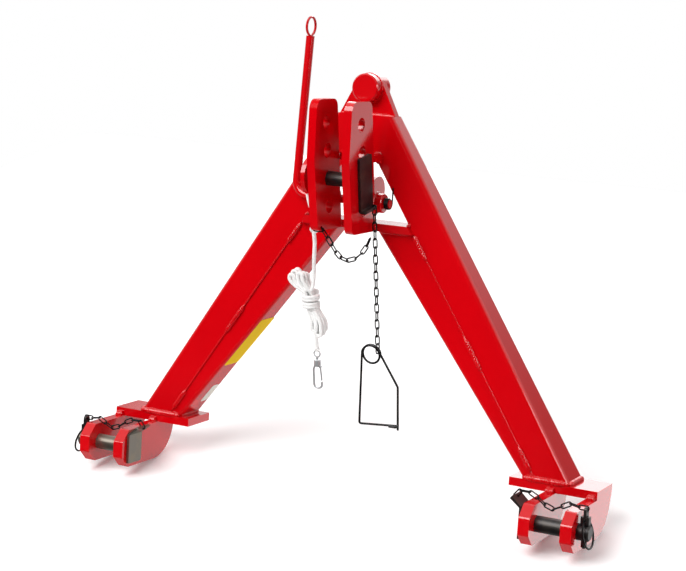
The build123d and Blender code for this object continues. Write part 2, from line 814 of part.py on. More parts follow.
def locking_clip():
    """Spring clip of one wire: a coil on top, two legs, and a hooked bar between them."""
    centre = clip_centre()
    pitch = clip_wire + link_play
    start = centre - Vector(0, pitch * clip_turns / 2, 0)
    place = Plane(origin=start, x_dir=(-1, 0, 0), z_dir=(0, 1, 0))
    body, coil = coil_wire(place, pitch, clip_turns, clip_coil_radius, clip_wire)
    left = coil @ 0
    right = coil @ 1
    foot = Vector(left.X - clip_splay, left.Y, left.Z - clip_height)
    bar_end = foot + Vector(clip_width, 0, clip_bar_rise)
    toe = foot + Vector(clip_width - clip_hook_length, -2 * clip_wire, clip_bar_rise)
    near = bar_end - Vector(0, 2 * clip_wire, 0)
    bar = FilletPolyline(toe, near, bar_end, foot, left, radius=clip_corner)
    knee = Vector(right.X + clip_width * clip_knee_share, right.Y, right.Z - clip_height * clip_knee_share)
    tip = Vector(foot.X + clip_width - clip_wire, right.Y, foot.Z - clip_wire)
    arm = FilletPolyline(right, knee, tip, radius=2 * clip_corner)
    return body + round_wire(bar, clip_wire) + round_wire(arm, clip_wire)


def corner_radii(points):
    """Bend radius at each inner point of a cord's route."""
    radii = []
    for before, here, after in zip(points, points[1:], points[2:]):
        run_in = Vector(*here) - Vector(*before)
        run_out = Vector(*after) - Vector(*here)
        half_turn = radians(run_in.get_angle(run_out)) / 2
        radii.append(cord_bend_share * min(run_in.length, run_out.length) / tan(half_turn))
    return radii


def cord(points, diameter):
    """Round cord of straight runs and tangent bends."""
    radii = corner_radii(points)
    print("cord bends", [round(radius, 1) for radius in radii])
    return round_wire(FilletPolyline(*points, radius=radii), diameter)


def rope_knot():
    """Knot that closes the rope's loop under the lug."""
    barrel = Cylinder(knot_radius, knot_height)
    barrel = fillet(barrel.edges().filter_by(GeomType.CIRCLE), knot_radius / 2)
    return Pos(snap_x + knot_shift, snap_y, knot_level) * barrel - cord(rope_line, rope_diameter)


def hank_layer(shares, inset, depth):
    """One layer of the hank, centred on the rope, from an outline in shares."""
    points = []
    for x_share, z_share in shares:
        x = hank_left + x_share * hank_width
        points.append((-x, hank_bottom + z_share * hank_height))
    outline = make_face(FilletPolyline(*points, radius=hank_corner, close=True))
    outline = offset(outline, amount=-inset) if inset else outline
    return extrude(front_plane(snap_y - depth / 2) * outline, amount=depth)


def rope_hank():
    """Gathered rope as one closed form: top loops, wrapped waist, lower loops."""
    body = hank_layer(hank_outline_shares, 0, hank_depth - 2 * hank_round)
    body += hank_layer(hank_outline_shares, hank_round, hank_depth)
    body += hank_layer(hank_wrap_shares, 0, hank_wrap_depth - 2 * hank_round)
    body += hank_layer(hank_wrap_shares, hank_round, hank_wrap_depth)
    return body - cord(rope_line, rope_diameter) - cord(rope_tail, rope_diameter)


def swivel_eye_height():
    """Centre of the swivel's eye."""
    return swivel_top - swivel_eye_radius - swivel_wire / 2


def tail_knot():
    """Knot that ties the rope's tail round the swivel's eye."""
    knot = Cylinder(tail_knot_radius, tail_knot_height)
    knot = fillet(knot.edges().filter_by(GeomType.CIRCLE), tail_knot_radius / 2)
    x, y, z = rope_tail[-1]
    ring = Rot(90, 0, 0) * wire_ring(swivel_eye_radius, swivel_wire)
    ring = Pos(snap_x, snap_y, swivel_eye_height()) * ring
    return Pos(x, y, z - tail_knot_height / 3) * knot - cord(rope_tail, rope_diameter) - ring


def collar_top():
    """Top face of the snap hook's collar."""
    return swivel_top - 2 * swivel_eye_radius - 2 * swivel_wire - seat_gap


def rope_swivel():
    """Eye with a headed neck that turns in the snap hook's collar."""
    eye = Rot(90, 0, 0) * wire_ring(swivel_eye_radius, swivel_wire)
    eye = Pos(snap_x, snap_y, swivel_eye_height()) * eye
    high = swivel_eye_height() - swivel_eye_radius
    low = collar_top() - collar_height - seat_gap - swivel_head_height
    base = (Align.CENTER, Align.CENTER, Align.MIN)
    neck = Pos(snap_x, snap_y, low) * Cylinder(swivel_neck_radius, high - low, align=base)
    head = Pos(snap_x, snap_y, low) * Cylinder(swivel_head_radius, swivel_head_height, align=base)
    return eye + neck + head


def snap_hook_body():
    """Collar with the fixed side of the snap hook."""
    top = collar_top()
    low = top - collar_height
    collar = Pos(snap_x, snap_y, (top + low) / 2) * Cylinder(collar_radius, collar_height)
    collar = fillet(collar.edges().filter_by(GeomType.CIRCLE), snap_wire / 4)
    half = snap_width / 2
    root = -collar_radius + snap_wire / 2
    points = [(root, 0), (-half, -snap_neck), (-half, -snap_length)]
    points += [(half, -snap_length), (half, -snap_length + snap_nose)]
    radii = [snap_wire, snap_bend, snap_bend]
    route = FilletPolyline(*[(snap_x + x, snap_y, low + z) for x, z in points], radius=radii)
    bore = Pos(snap_x, snap_y, (top + low) / 2) * Cylinder(swivel_neck_radius + pin_clearance, collar_height)
    room_height = 2 * swivel_head_height + 4 * seat_gap
    head_room = Pos(snap_x, snap_y, low) * Cylinder(swivel_head_radius + seat_gap, room_height)
    return collar + round_wire(route, snap_wire) - bore - head_room


def snap_hook_gate():
    """Sprung gate between the collar and the hook's nose."""
    low = collar_top() - collar_height
    half = snap_width / 2
    pivot = (collar_radius - gate_barrel_radius / 4, low - gate_barrel_radius - gate_gap)
    tip = (half, low - snap_length + snap_nose + gate_gap + gate_wire / 2)
    start = (snap_x + pivot[0], snap_y, pivot[1])
    rod = round_wire(Line(start, (snap_x + tip[0], snap_y, tip[1])), gate_wire)
    barrel = Pos(*start) * Rot(90, 0, 0) * Cylinder(gate_barrel_radius, gate_barrel_length)
    return rod + barrel


def foot_pieces():
    """The right foot's pieces in the upright frame, by name."""
    pieces = {
        "leg_channel": leg_channel(),
        "leg_web": leg_web(),
        "foot_plate": foot_plate(),
        "inner_ear": ear(ear_inner_face(), inner_ear_back),
        "outer_ear": ear(foot_outer - ear_thickness, outer_ear_back),
        "lower_link_pin": lower_link_pin(),
        "pin_head_plate": pin_head_plate(),
        "linch_pin": linch_pin(),
        "linch_ring": linch_ring(),
        "tether_chain": tether_chain(),
        "latch_bush": latch_bush(),
    }
    return pieces


def all_pieces():
    """Every piece in its place, by name."""
    pieces = {
        "cross_plate": cross_plate(),
        "bracket_stay": bracket_stay(),
        "apex_plate": leaning * apex_plate(),
        "front_guide_boss": leaning * guide_boss(-1),
        "rear_guide_boss": leaning * guide_boss(1),
        "right_bracket_plate": bracket_plate(),
        "left_bracket_plate": anchored_plate(),
        "release_lever": leaning * release_lever(),
        "lever_ring": leaning * lever_ring(),
        "latch_hook": leaning * latch_hook(),
        "rope_eye_lug": rope_eye_lug(),
        "latch_return_spring": leaning * latch_return_spring(),
        "top_link_pin": top_link_pin(),
        "pin_handle_plate": pin_handle_plate(),
        "hanging_chain": hanging_chain(),
        "frame_chain": frame_chain(),
        "locking_clip": locking_clip(),
        "rope_line": cord(rope_line, rope_diameter),
        "rope_tail": cord(rope_tail, rope_diameter),
        "rope_knot": rope_knot(),
        "tail_knot": tail_knot(),
        "rope_hank": rope_hank(),
        "rope_swivel": rope_swivel(),
        "snap_hook_body": snap_hook_body(),
        "snap_hook_gate": snap_hook_gate(),
    }
    for name, piece in foot_pieces().items():
        pieces["right_" + name] = leaning * piece
        pieces["left_" + name] = leaning * mirrored(piece)
    return pieces


os.makedirs("parts", exist_ok=True)
for name, piece in all_pieces().items():
    export_step(piece, "parts/" + name + ".step")
    box = piece.bounding_box()
    print(name, [round(value, 1) for value in (*box.min, *box.max)], round(piece.volume))
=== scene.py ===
import json
import math
import random
import bpy
import bmesh
from mathutils import Matrix, Vector


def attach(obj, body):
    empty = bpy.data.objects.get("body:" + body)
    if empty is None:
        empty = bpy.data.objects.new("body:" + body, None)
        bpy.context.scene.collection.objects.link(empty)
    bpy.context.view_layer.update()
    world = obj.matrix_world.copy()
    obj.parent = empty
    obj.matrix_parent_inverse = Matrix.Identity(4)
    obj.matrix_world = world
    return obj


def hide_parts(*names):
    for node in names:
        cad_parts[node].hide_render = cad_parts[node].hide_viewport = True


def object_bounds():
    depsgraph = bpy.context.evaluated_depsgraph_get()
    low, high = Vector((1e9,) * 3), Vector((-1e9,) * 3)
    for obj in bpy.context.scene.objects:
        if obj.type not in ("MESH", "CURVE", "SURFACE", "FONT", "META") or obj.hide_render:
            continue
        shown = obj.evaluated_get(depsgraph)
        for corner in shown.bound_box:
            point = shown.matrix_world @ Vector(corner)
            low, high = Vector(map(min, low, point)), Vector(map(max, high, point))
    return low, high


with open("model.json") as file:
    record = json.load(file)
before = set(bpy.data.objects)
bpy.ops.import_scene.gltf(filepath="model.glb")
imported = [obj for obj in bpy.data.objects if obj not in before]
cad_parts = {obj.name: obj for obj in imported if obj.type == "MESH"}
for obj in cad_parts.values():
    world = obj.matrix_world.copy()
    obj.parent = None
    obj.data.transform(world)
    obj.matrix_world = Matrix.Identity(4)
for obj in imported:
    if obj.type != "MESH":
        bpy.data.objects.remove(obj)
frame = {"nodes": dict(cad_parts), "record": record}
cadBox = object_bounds()
nodes = frame["nodes"]
random.seed(7)
mm = 0.001
print("frame loaded:", len(nodes), "nodes")

# the A-frame is drawn upright and leans back about the lower link pins
lean = {"angle": math.radians(11.3), "pinForward": 87.0, "pinDrop": 50.0}


def leaned(x, y, z):
    # millimetres in the upright frame to metres in the row frame
    c, s = math.cos(lean["angle"]), math.sin(lean["angle"])
    back, up = y + lean["pinForward"], z + lean["pinDrop"]
    return Vector((x, c * back + s * up, c * up - s * back)) * mm


def uprightY(rowY, z):
    # y in the upright frame of a point at a depth of the row frame and a height of the upright frame
    c, s = math.cos(lean["angle"]), math.sin(lean["angle"])
    return (rowY - s * (z + lean["pinDrop"])) / c - lean["pinForward"]


def metres(point):
    return Vector(point) * mm


def linear(hexText):
    # sRGB hex to linear colour
    values = []
    for start in (0, 2, 4):
        v = int(hexText[start:start + 2], 16) / 255
        values.append(v / 12.92 if v <= 0.04045 else ((v + 0.055) / 1.055) ** 2.4)
    return (*values, 1.0)


def addNode(tree, kind, settings=None, links=None):
    node = tree.nodes.new(kind)
    for key, value in (settings or {}).items():
        if isinstance(key, str) and hasattr(node, key):
            setattr(node, key, value)
        elif kind == "ShaderNodeMix" and key in ("A", "B"):
            node.inputs[6 if key == "A" else 7].default_value = value  # the colour sockets of the mix node
        else:
            node.inputs[key].default_value = value
    for key, socket in (links or {}).items():
        tree.links.new(socket, node.inputs[key])
    return node


def newMaterial(name):
    material = bpy.data.materials.new(name)
    material.use_nodes = True
    tree = material.node_tree
    tree.nodes.clear()
    output = addNode(tree, "ShaderNodeOutputMaterial")
    shader = addNode(tree, "ShaderNodeBsdfPrincipled")
    tree.links.new(shader.outputs["BSDF"], output.inputs["Surface"])
    return material, tree, shader


# polyester powder coat on steel, sprayed and baked: glossy, very slightly orange-peeled, a little uneven in
# depth of colour
powderCoat = {"base": "DA000C", "deep": "C6000A", "roughness": 0.16, "coat": 0.6, "coatRoughness": 0.06,
              "specular": 0.5, "patchMm": 160.0, "patchDetail": 3.0, "peelMm": 2.2, "peelDetail": 2.0,
              "bump": 0.05, "bumpMm": 0.4}


def makePowderCoat(name, settings):
    material, tree, shader = newMaterial(name)
    coords = addNode(tree, "ShaderNodeTexCoord")
    patch = addNode(tree, "ShaderNodeTexNoise",
                    {"Scale": 1 / (settings["patchMm"] * mm), "Detail": settings["patchDetail"]},
                    {"Vector": coords.outputs["Object"]})
    tone = addNode(tree, "ShaderNodeMix",
                   {"data_type": "RGBA", "A": linear(settings["base"]), "B": linear(settings["deep"])},
                   {"Factor": patch.outputs["Fac"]})
    peel = addNode(tree, "ShaderNodeTexNoise",
                   {"Scale": 1 / (settings["peelMm"] * mm), "Detail": settings["peelDetail"]},
                   {"Vector": coords.outputs["Object"]})
    bump = addNode(tree, "ShaderNodeBump",
                   {"Strength": settings["bump"], "Distance": settings["bumpMm"] * mm},
                   {"Height": peel.outputs["Fac"]})
    tree.links.new(tone.outputs[2], shader.inputs["Base Color"])
    tree.links.new(bump.outputs["Normal"], shader.inputs["Normal"])
    shader.inputs["Roughness"].default_value = settings["roughness"]
    shader.inputs["Coat Weight"].default_value = settings["coat"]
    shader.inputs["Specular IOR Level"].default_value = settings["specular"]
    shader.inputs["Coat Roughness"].default_value = settings["coatRoughness"]
    return material


# hot blackened steel: near black, satin, with faint brown scale; its grain is drawn coarse enough to show
blackOxide = {"base": "3E3D3E", "scale": "554E46", "roughness": 0.38, "metallic": 0.85,
              "scaleMm": 18.0, "scaleDetail": 5.0, "scaleBegins": 0.42, "scaleFull": 0.75,
              "smoother": 0.08, "rougher": 0.12, "grainMm": 1.2, "grainDetail": 3.0,
              "bump": 0.12, "bumpMm": 0.3}


def makeBlackOxide(name, settings):
    material, tree, shader = newMaterial(name)
    coords = addNode(tree, "ShaderNodeTexCoord")
    patch = addNode(tree, "ShaderNodeTexNoise",
                    {"Scale": 1 / (settings["scaleMm"] * mm), "Detail": settings["scaleDetail"]},
                    {"Vector": coords.outputs["Object"]})
    ramp = addNode(tree, "ShaderNodeMapRange",
                   {"From Min": settings["scaleBegins"], "From Max": settings["scaleFull"]},
                   {"Value": patch.outputs["Fac"]})
    tone = addNode(tree, "ShaderNodeMix",
                   {"data_type": "RGBA", "A": linear(settings["base"]), "B": linear(settings["scale"])},
                   {"Factor": ramp.outputs["Result"]})
    grain = addNode(tree, "ShaderNodeTexNoise",
                    {"Scale": 1 / (settings["grainMm"] * mm), "Detail": settings["grainDetail"]},
                    {"Vector": coords.outputs["Object"]})
    gloss = addNode(tree, "ShaderNodeMapRange",
                    {"To Min": settings["roughness"] - settings["smoother"],
                     "To Max": settings["roughness"] + settings["rougher"]},
                    {"Value": patch.outputs["Fac"]})
    bump = addNode(tree, "ShaderNodeBump",
                   {"Strength": settings["bump"], "Distance": settings["bumpMm"] * mm},
                   {"Height": grain.outputs["Fac"]})
    tree.links.new(tone.outputs[2], shader.inputs["Base Color"])
    tree.links.new(gloss.outputs["Result"], shader.inputs["Roughness"])
    tree.links.new(bump.outputs["Normal"], shader.inputs["Normal"])
    shader.inputs["Metallic"].default_value = settings["metallic"]
    return material


# bright zinc plate: pale grey metal, faintly clouded
zincPlate = {"base": "E4E5E6", "dull": "C6C8CA", "roughness": 0.38, "metallic": 0.6,
             "cloudMm": 4.0, "cloudDetail": 4.0}


def makeZincPlate():
    material, tree, shader = newMaterial("zincPlatedSteel")
    coords = addNode(tree, "ShaderNodeTexCoord")
    cloud = addNode(tree, "ShaderNodeTexNoise",
                    {"Scale": 1 / (zincPlate["cloudMm"] * mm), "Detail": zincPlate["cloudDetail"]},
                    {"Vector": coords.outputs["Object"]})
    tone = addNode(tree, "ShaderNodeMix",
                   {"data_type": "RGBA", "A": linear(zincPlate["base"]), "B": linear(zincPlate["dull"])},
                   {"Factor": cloud.outputs["Fac"]})
    tree.links.new(tone.outputs[2], shader.inputs["Base Color"])
    shader.inputs["Metallic"].default_value = zincPlate["metallic"]
    shader.inputs["Roughness"].default_value = zincPlate["roughness"]
    return material


# braided polyester cord: white, matt, with a diamond braid that runs along the cord; the braid's grooves are
# painted a little greyer, painted shade between the strands
braid = {"base": "FFFFFF", "valley": "F0EFEC", "roughness": 0.75, "sheen": 0.3, "strandMm": 3.2,
         "bump": 0.5, "bumpMm": 0.8}


def makeBraid(lengthMm, girthMm):
    material, tree, shader = newMaterial("braidedPolyesterWhite")
    coords = addNode(tree, "ShaderNodeTexCoord")
    mapped = addNode(tree, "ShaderNodeMapping",
                     {"Scale": (lengthMm / braid["strandMm"], girthMm / braid["strandMm"], 1.0)},
                     {"Vector": coords.outputs["UV"]})
    split = addNode(tree, "ShaderNodeSeparateXYZ", None, {"Vector": mapped.outputs["Vector"]})
    along, around = split.outputs["X"], split.outputs["Y"]
    waves = []
    for operation in ("ADD", "SUBTRACT"):  # strands that rise and strands that fall
        line = addNode(tree, "ShaderNodeMath", {"operation": operation}, {0: along, 1: around})
        angle = addNode(tree, "ShaderNodeMath", {"operation": "MULTIPLY", 1: 2 * math.pi},
                        {0: line.outputs["Value"]})
        waves.append(addNode(tree, "ShaderNodeMath", {"operation": "SINE"}, {0: angle.outputs["Value"]}))
    weave = addNode(tree, "ShaderNodeMath", {"operation": "MULTIPLY"},
                    {0: waves[0].outputs["Value"], 1: waves[1].outputs["Value"]})
    height = addNode(tree, "ShaderNodeMapRange", {"From Min": -1.0, "From Max": 1.0},
                     {"Value": weave.outputs["Value"]})
    # painted shade: the low parts of the braid take the greyer colour, the crowns the white
    tone = addNode(tree, "ShaderNodeMix",
                   {"data_type": "RGBA", "A": linear(braid["valley"]), "B": linear(braid["base"])},
                   {"Factor": height.outputs["Result"]})
    bump = addNode(tree, "ShaderNodeBump", {"Strength": braid["bump"], "Distance": braid["bumpMm"] * mm},
                   {"Height": height.outputs["Result"]})
    tree.links.new(tone.outputs[2], shader.inputs["Base Color"])
    tree.links.new(bump.outputs["Normal"], shader.inputs["Normal"])
    shader.inputs["Roughness"].default_value = braid["roughness"]
    shader.inputs["Sheen Weight"].default_value = braid["sheen"]
    return material


# vinyl label stock, plain and blank: satin, faintly rubbed; the white is greyed to show on white
vinyl = {"yellow": "E6BE00", "white": "DEDBD2", "roughness": 0.6, "specular": 0.12,
         "rubMm": 12.0, "rubDetail": 4.0, "rubDark": 0.93, "rubPale": 1.05}


def makeVinyl(name, colour):
    material, tree, shader = newMaterial(name)
    coords = addNode(tree, "ShaderNodeTexCoord")
    rub = addNode(tree, "ShaderNodeTexNoise",
                  {"Scale": 1 / (vinyl["rubMm"] * mm), "Detail": vinyl["rubDetail"]},
                  {"Vector": coords.outputs["Object"]})
    tone = addNode(tree, "ShaderNodeMapRange", {"To Min": vinyl["rubDark"], "To Max": vinyl["rubPale"]},
                   {"Value": rub.outputs["Fac"]})
    shade = addNode(tree, "ShaderNodeHueSaturation", {"Color": linear(colour)},
                    {"Value": tone.outputs["Result"]})
    tree.links.new(shade.outputs["Color"], shader.inputs["Base Color"])
    shader.inputs["Roughness"].default_value = vinyl["roughness"]
    shader.inputs["Specular IOR Level"].default_value = vinyl["specular"]
    return material


redCoat = makePowderCoat("powderCoatedSteelRed", powderCoat)
# fitted to the photograph: a duller coat, so that the left plate hardly mirrors its neighbour
dullCoat = dict(powderCoat, roughness=0.25, coat=0.0, specular=0.06)
thinCoat = makePowderCoat("powderCoatedSteelRedThin", dullCoat)
pinSteel = makeBlackOxide("blackenedSteelPin", blackOxide)
# fitted to the photograph: the left lower link pin and its head are lighter and browner than the other pins,
# a painted reflection of the bright backdrop rather than a different finish
paintedReflectionOxide = dict(blackOxide, base="857E74", scale="978A77", roughness=0.34)
paintedReflectionSteel = makeBlackOxide("rubbedSteelPin", paintedReflectionOxide)
# lacquered chain: near black and glossier than the pins
chainLacquer = dict(blackOxide, base="19191B", scale="25211F", metallic=0.6, roughness=0.3)
chainSteel = makeBlackOxide("blackLacqueredChainSteel", chainLacquer)
zinc = makeZincPlate()
print("materials made")

# the solids of the rope's slot are replaced further down, so what they wear isn't seen
finishes = {"red_coat": redCoat, "black_coat": pinSteel, "black_chain": chainSteel, "zinc_plate": zinc,
            "white_rope": zinc}
# the left lower link pin and its head plate take the paler copy of the pin steel, whose lighter brown is
# painted reflection
special = (("left_bracket", thinCoat), ("left_lower_link_pin", paintedReflectionSteel), ("left_pin_head", paintedReflectionSteel))
# rounding of the CAD nodes' edges in millimetres, by a word of the node's name, first match first
edgeBreaks = (("lever_ring", 0.9), ("linch_ring", 0.7), ("chain", 0.5), ("swivel", 0.5), ("clip", 0),
              ("spring", 0), ("rope", 0), ("knot", 0), ("snap", 0), ("release_lever", 0),
              ("leg_channel", 3.5), ("leg_web", 2.0), ("_ear", 2.2), ("foot_plate", 1.8),
              ("bracket_plate", 1.6), ("cross_plate", 1.6), ("apex_plate", 1.6), ("", 0.9))
edgeShape = {"leastAngle": math.radians(40), "wideFrom": 1.0, "wideSteps": 4, "narrowSteps": 2}
for entry in frame["record"]["subparts"]:
    name = entry["node"]
    part = nodes[name]
    usual = finishes[entry["material_slot"]]
    part.data.materials.clear()
    part.data.materials.append(next((finish for word, finish in special if word in name), usual))
    width = next(size for word, size in edgeBreaks if word in name)
    if width:
        bevel = part.modifiers.new("edgeBreak", "BEVEL")
        bevel.width = width * mm
        bevel.segments = edgeShape["wideSteps" if width > edgeShape["wideFrom"] else "narrowSteps"]
        bevel.limit_method = "ANGLE"
        bevel.angle_limit = edgeShape["leastAngle"]
print("CAD nodes dressed")


def addMesh(name, build, material, body, smooth=True):
    mesh = bpy.data.meshes.new(name)
    bm = bmesh.new()
    build(bm)
    bmesh.ops.recalc_face_normals(bm, faces=bm.faces)
    bm.to_mesh(mesh)
    bm.free()
    for face in mesh.polygons:
        face.use_smooth = smooth
    mesh.materials.append(material)
    piece = bpy.data.objects.new(name, mesh)
    bpy.context.scene.collection.objects.link(piece)
    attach(piece, body)
    return piece


def skin(bm, rings, closed=False):
    # faces between rings of points, capped at both ends unless closed
    loops = [[bm.verts.new(point) for point in ring] for ring in rings]
    pairs = list(zip(loops, loops[1:])) + ([(loops[-1], loops[0])] if closed else [])
    for a, b in pairs:
        for i in range(len(a)):
            j = (i + 1) % len(a)
            bm.faces.new((a[i], a[j], b[j], b[i]))
    if not closed:
        bm.faces.new(loops[0])
        bm.faces.new(list(reversed(loops[-1])))


# fillet welds: each bead is a row of overlapping ripples laid along a joint, slimmer at its ends
weld = {"ripple": 4.6, "perRipple": 5, "fewest": 6, "sides": 12, "swell": 0.18, "uneven": 0.04, "wander": 0.6,
        "endSize": 0.4, "endGrowth": 4.5, "firstStep": 0.01, "step": 0.002}


def weldAlong(name, place, length, width, body="frame", closed=False):
    # place gives the bead's centre in metres at a share of its length
    count = max(weld["fewest"], int(length / weld["ripple"])) * weld["perRipple"]
    side = (place(weld["firstStep"]) - place(0)).orthogonal().normalized()
    rings = []
    for i in range(count if closed else count + 1):
        t = i / count
        ahead = (place(t + weld["step"]) - place(t - weld["step"])).normalized()
        side = (side - ahead * side.dot(ahead)).normalized()
        up = ahead.cross(side)
        fade = 1.0 if closed else min(1.0, weld["endGrowth"] * min(t, 1 - t) + weld["endSize"])
        phase = (i % weld["perRipple"]) / weld["perRipple"]
        uneven = random.uniform(-weld["uneven"], weld["uneven"])
        size = width / 2 * mm * fade * (1 + weld["swell"] * (phase - 0.5) + uneven)
        centre = place(t) + side * random.uniform(-0.5, 0.5) * weld["wander"] * mm
        turns = [2 * math.pi * k / weld["sides"] for k in range(weld["sides"])]
        rings.append([centre + (side * math.cos(a) + up * math.sin(a)) * size for a in turns])
    return addMesh(name, lambda bm: skin(bm, rings, closed), redCoat, body)


def weldBead(name, start, end, width, body="frame"):
    # straight bead between two points of the upright frame
    a, b = leaned(*start), leaned(*end)
    return weldAlong(name, lambda t: a.lerp(b, t), (b - a).length / mm, width, body)


def weldRound(name, centre, axis, radius, width, body="frame"):
    # bead round a boss or a shaft that runs along x or y of the upright frame
    def place(t):
        a = 2 * math.pi * t
        u, v = radius * math.cos(a), radius * math.sin(a)
        offset = (0, u, v) if axis == "x" else (u, 0, v)
        return leaned(*[c + d for c, d in zip(centre, offset)])
    return weldAlong(name, place, 2 * math.pi * radius, width, body, closed=True)


# lines of the right leg in the upright frame, in millimetres: each falls evenly from the foot to a height
leg = {"seamFoot": 370.7, "seamMeets": 564.5, "webFoot": 346.0, "webRun": 308.0, "webRise": 396.0,
       "depthFoot": 72.0, "depthLoss": 29.5, "height": 597.0}


def seamX(z):
    return leg["seamFoot"] * (1 - z / leg["seamMeets"])


def webX(z):
    return leg["webFoot"] - leg["webRun"] * z / leg["webRise"]


def legDepth(z):
    return leg["depthFoot"] - leg["depthLoss"] * z / leg["height"]


seam = {"stretches": ((15.0, 54.0), (175.0, 230.0), (354.0, 394.0)), "front": -0.6, "width": 8.5,
        "backWidth": 7.5, "lineFront": -0.1, "lineEnds": (8.0, 394.0), "lineWidth": 3.2}
bracket = {"back": 163.0, "inner": 26.0, "outer": 41.0, "width": 5.5, "inset": 1.5, "shelves": (410.2, 530.4),
           "stretches": (("inner", 398.0, 409.0), ("outer", 398.0, 409.0), ("inner", 519.0, 529.0))}
shaft = {"y": -10.5, "z": 446.0, "bushRadius": 17.2, "bushWidth": 5.0, "radius": 7.8, "width": 4.5,
         "hookFace": 10.1, "lugFace": -64.5}
apex = {"front": 13.75, "back": 28.75, "offset": 0.3, "half": 52.0, "foot": 597.3, "width": 6.5,
        "bossHeight": 643.6, "bossRadius": 25.7, "bossWidth": 2.6}

# straight beads of the right side, which the left side mirrors: start, end and width
sideBeads = {}
for index, (low, high) in enumerate(seam["stretches"]):
    sideBeads[f"SeamWeld{index}"] = ((seamX(low), seam["front"], low),
                                     (seamX(high), seam["front"], high), seam["width"])
    sideBeads[f"BackSeamWeld{index}"] = ((seamX(low), legDepth(low), low),
                                         (seamX(high), legDepth(high), high), seam["backWidth"])
lineStart, lineEnd = [(seamX(z), seam["lineFront"], z) for z in seam["lineEnds"]]
sideBeads.update({
    "SeamLine": (lineStart, lineEnd, seam["lineWidth"]),
    "FootWeldFront": ((348.0, -0.6, 2.0), (431.0, -0.6, 2.0), 12.0),
    "FootWeldOuter": ((432.4, 2.0, 1.6), (432.4, 68.0, 1.6), 10.5),
    "FootWeldInner": ((345.6, 6.0, 1.6), (345.6, 67.0, 1.6), 8.5),
    "EarWeld0": ((391.0, 2.0, -15.8), (391.0, 50.0, -15.8), 7.0),
    "EarWeld1": ((411.0, 2.0, -15.8), (411.0, 50.0, -15.8), 7.0),
    "EarWeld2": ((465.0, 2.0, -15.8), (465.0, 66.0, -15.8), 7.0),
    "EarWeldFront0": ((393.0, -6.5, -13.4), (409.0, -6.5, -13.4), 14.5),
    "EarWeldFront1": ((467.0, -6.5, -13.4), (483.0, -6.5, -13.4), 14.5),
    "CrossWeldTop": ((100.6, -8.0, 410.8), (100.6, 44.0, 410.8), 7.5),
    "CrossWeldFront": ((44.0, 0.6, 395.4), (104.0, 0.6, 395.4), 7.5),
    "StayWeldTop": ((26.0, -1.0, 531.0), (39.5, -1.0, 531.0), 7.0),
    "StayWeldLow": ((30.0, -1.0, 517.0), (39.5, -1.0, 517.0), 7.0),
})
for index, (face, low, high) in enumerate(bracket["stretches"]):
    sideBeads[f"BracketWeld{index}"] = ((bracket[face], uprightY(bracket["back"], low), low),
                                        (bracket[face], uprightY(bracket["back"], high), high),
                                        bracket["width"])
for index, level in enumerate(bracket["shelves"]):
    y = uprightY(bracket["back"], level)
    sideBeads[f"BracketWeldTop{index}"] = ((bracket["inner"] + bracket["inset"], y, level),
                                           (bracket["outer"] - bracket["inset"], y, level), bracket["width"])

for side, sign in (("right", 1), ("left", -1)):
    for name, (start, end, width) in sideBeads.items():
        weldBead(f"{side}{name}", (sign * start[0], *start[1:]), (sign * end[0], *end[1:]), width)
    weldRound(f"{side}BushWeld", (sign * bracket["outer"], shaft["y"], shaft["z"]), "x",
              shaft["bushRadius"], shaft["bushWidth"])
    weldRound(f"{side}HookWeld", (sign * shaft["hookFace"], shaft["y"], shaft["z"]), "x",
              shaft["radius"], shaft["width"], "latch")
weldRound("lugWeld", (shaft["lugFace"], shaft["y"], shaft["z"]), "x",
          shaft["radius"], shaft["width"], "latch")
for name, y, off in (("Front", apex["front"], apex["offset"]), ("Back", apex["back"], -apex["offset"])):
    weldBead(f"apexWeld{name}", (-apex["half"], y - off, apex["foot"]), (apex["half"], y - off, apex["foot"]),
             apex["width"])
    weldRound(f"bossWeld{name}", (0, y + off, apex["bossHeight"]), "y", apex["bossRadius"], apex["bossWidth"])
print("welds laid")

# blank labels on the left leg's inner side: spans along the leg and across it
labels = {"yellow": {"z": (109.0, 205.0), "y": (8.6, 59.0), "colour": vinyl["yellow"]},
          "white": {"z": (27.0, 62.0), "y": (36.0, 60.0), "colour": vinyl["white"]}}
labelCut = {"corner": 5.0, "steps": 6, "lift": 0.1, "thickness": 0.25}
slope = leg["webRun"] / leg["webRise"]
outward = Vector((1.0, 0.0, -slope)).normalized()


def roundedOutline(zSpan, ySpan):
    # corners keep their true radius along the slope of the leg
    cornerY, cornerZ = labelCut["corner"], labelCut["corner"] / math.hypot(1.0, slope)
    (zLow, zHigh), (yLow, yHigh) = zSpan, ySpan
    corners = ((yHigh - cornerY, zHigh - cornerZ, 0), (yLow + cornerY, zHigh - cornerZ, 90),
               (yLow + cornerY, zLow + cornerZ, 180), (yHigh - cornerY, zLow + cornerZ, 270))
    points = []
    for y, z, start in corners:
        for step in range(labelCut["steps"] + 1):
            a = math.radians(start + 90 * step / labelCut["steps"])
            points.append((y + cornerY * math.cos(a), z + cornerZ * math.sin(a)))
    return points


for name, spec in labels.items():
    outline = roundedOutline(spec["z"], spec["y"])
    rings = []
    for lift in (labelCut["lift"], labelCut["lift"] + labelCut["thickness"]):
        rings.append([leaned(-webX(z) + outward.x * lift, y, z + outward.z * lift) for y, z in outline])
    stock = makeVinyl(f"{name}Vinyl", spec["colour"])
    addMesh(f"{name}Label", lambda bm: skin(bm, rings), stock, "frame", smooth=False)
print("labels stuck on")

